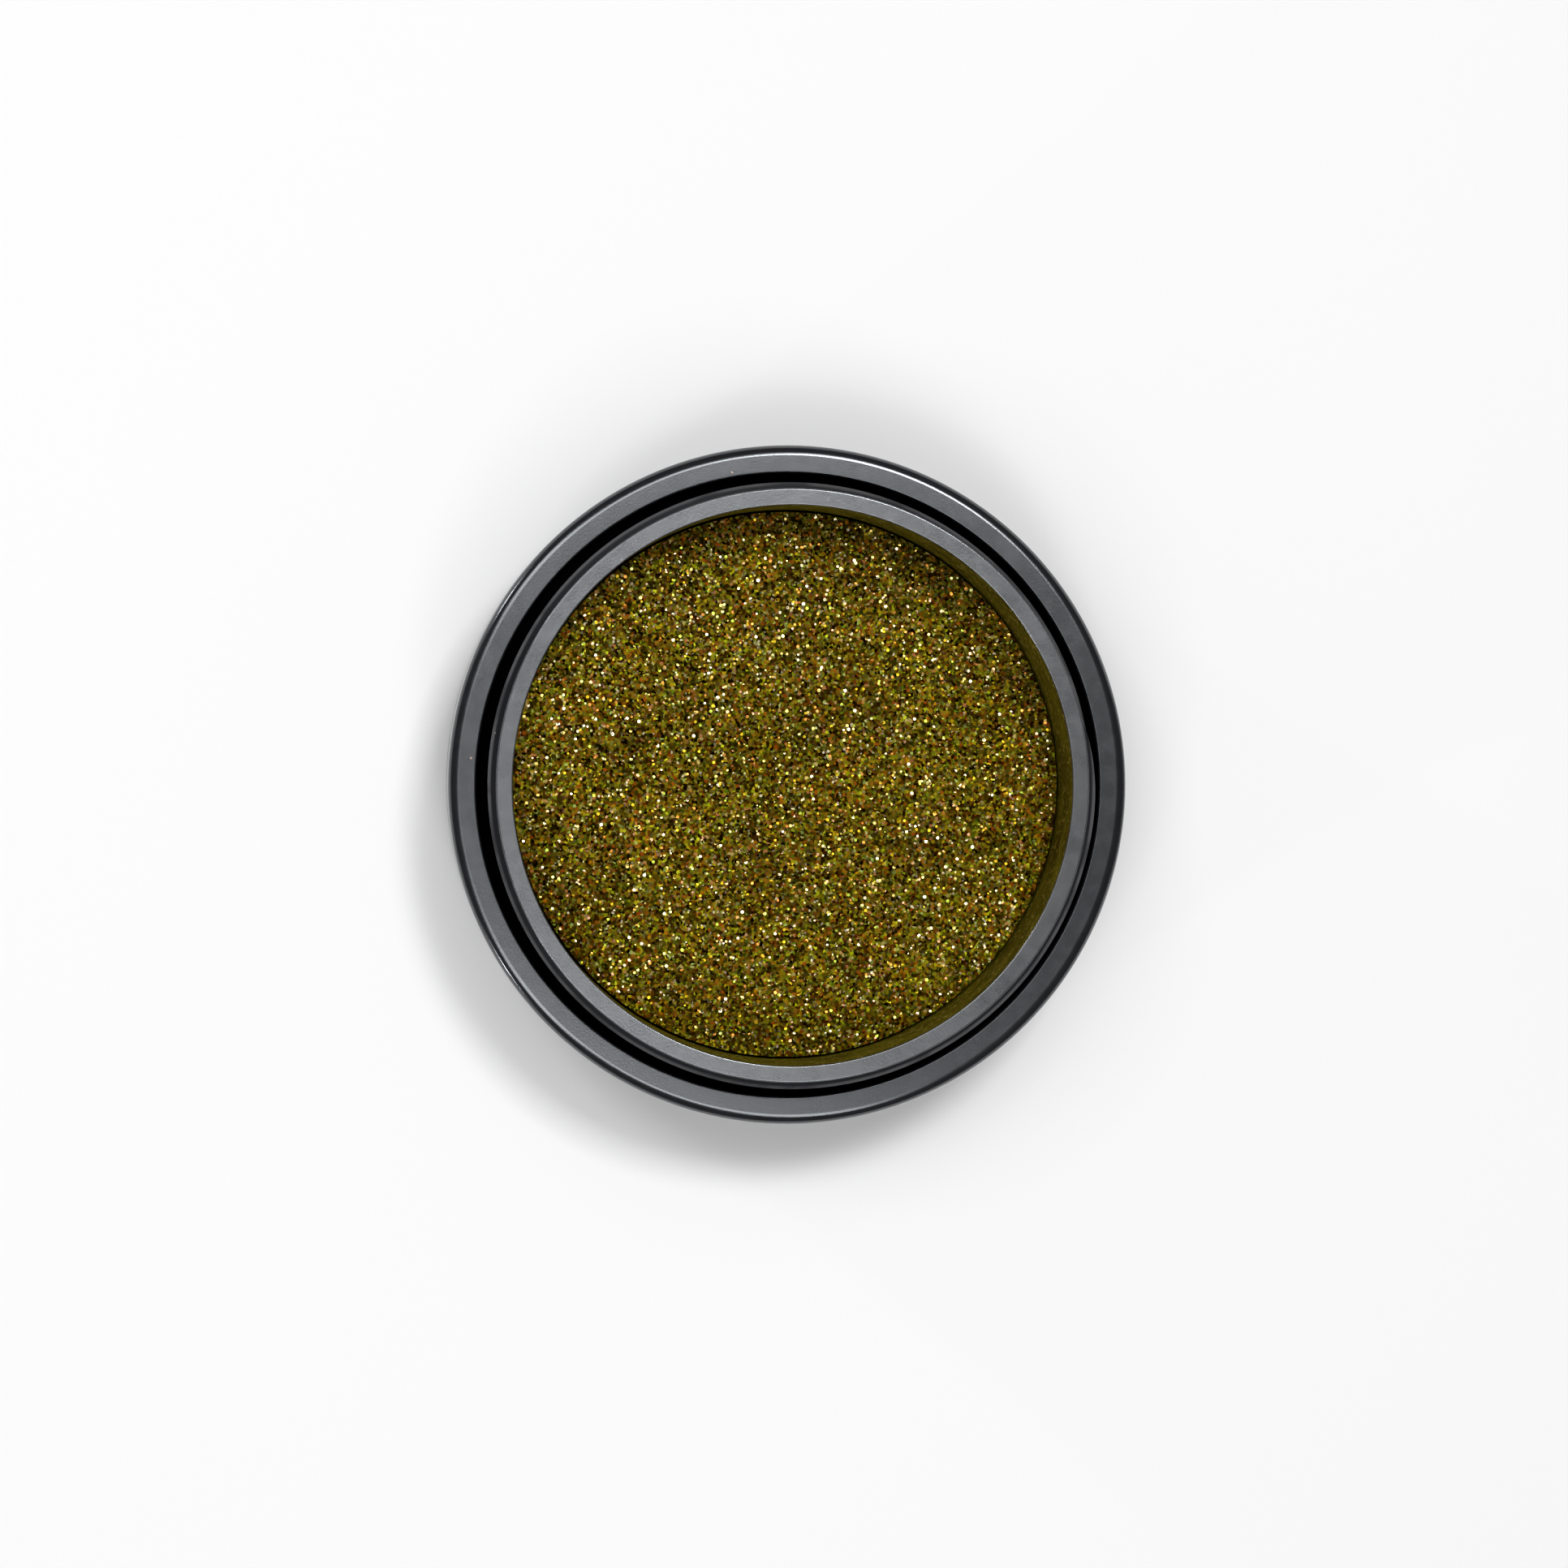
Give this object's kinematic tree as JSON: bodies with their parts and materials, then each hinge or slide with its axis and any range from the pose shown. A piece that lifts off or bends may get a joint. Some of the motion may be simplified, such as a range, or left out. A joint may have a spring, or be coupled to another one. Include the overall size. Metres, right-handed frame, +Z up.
{
  "type": "screw-neck eyeshadow pot",
  "caption": "Round black screw pot of pressed glitter eyeshadow, open, with its threaded lid lying upside down beside it.",
  "frame": {"origin": "middle of the pot's foot, on the surface that it stands on", "axes": "+Z up along the pot's axis, +X towards the lid that lies beside it"},
  "size_m": [0.114, 0.04, 0.0176],
  "materials": {
    "satin_black": "satin moulded black",
    "cap_black": "plain moulded black",
    "glue": "clear set glue",
    "pan_metal": "drawn, bare",
    "glitter_shadow": "pressed olive-gold powder with metallic glitter",
    "label_paper": "blank matt sticker",
    "liner_board": "white-faced board"
  },
  "bodies": {
    "pot": {"outer_shell": "satin_black", "inner_jar": "satin_black", "pan_adhesive": "glue", "pan": "pan_metal", "shadow_cake": "glitter_shadow", "base_label": "label_paper"},
    "lid": {"lid_shell": "satin_black", "lid_inner_cap": "cap_black", "lid_liner": "liner_board"}
  },
  "joints": [
    {"name": "lid_turn_over", "type": "hinge", "parent": "pot", "child": "lid", "pos_m": [0.037, 0, 0.01105], "axis": [0, -1, 0], "range_deg": [0, 180]}
  ]
}
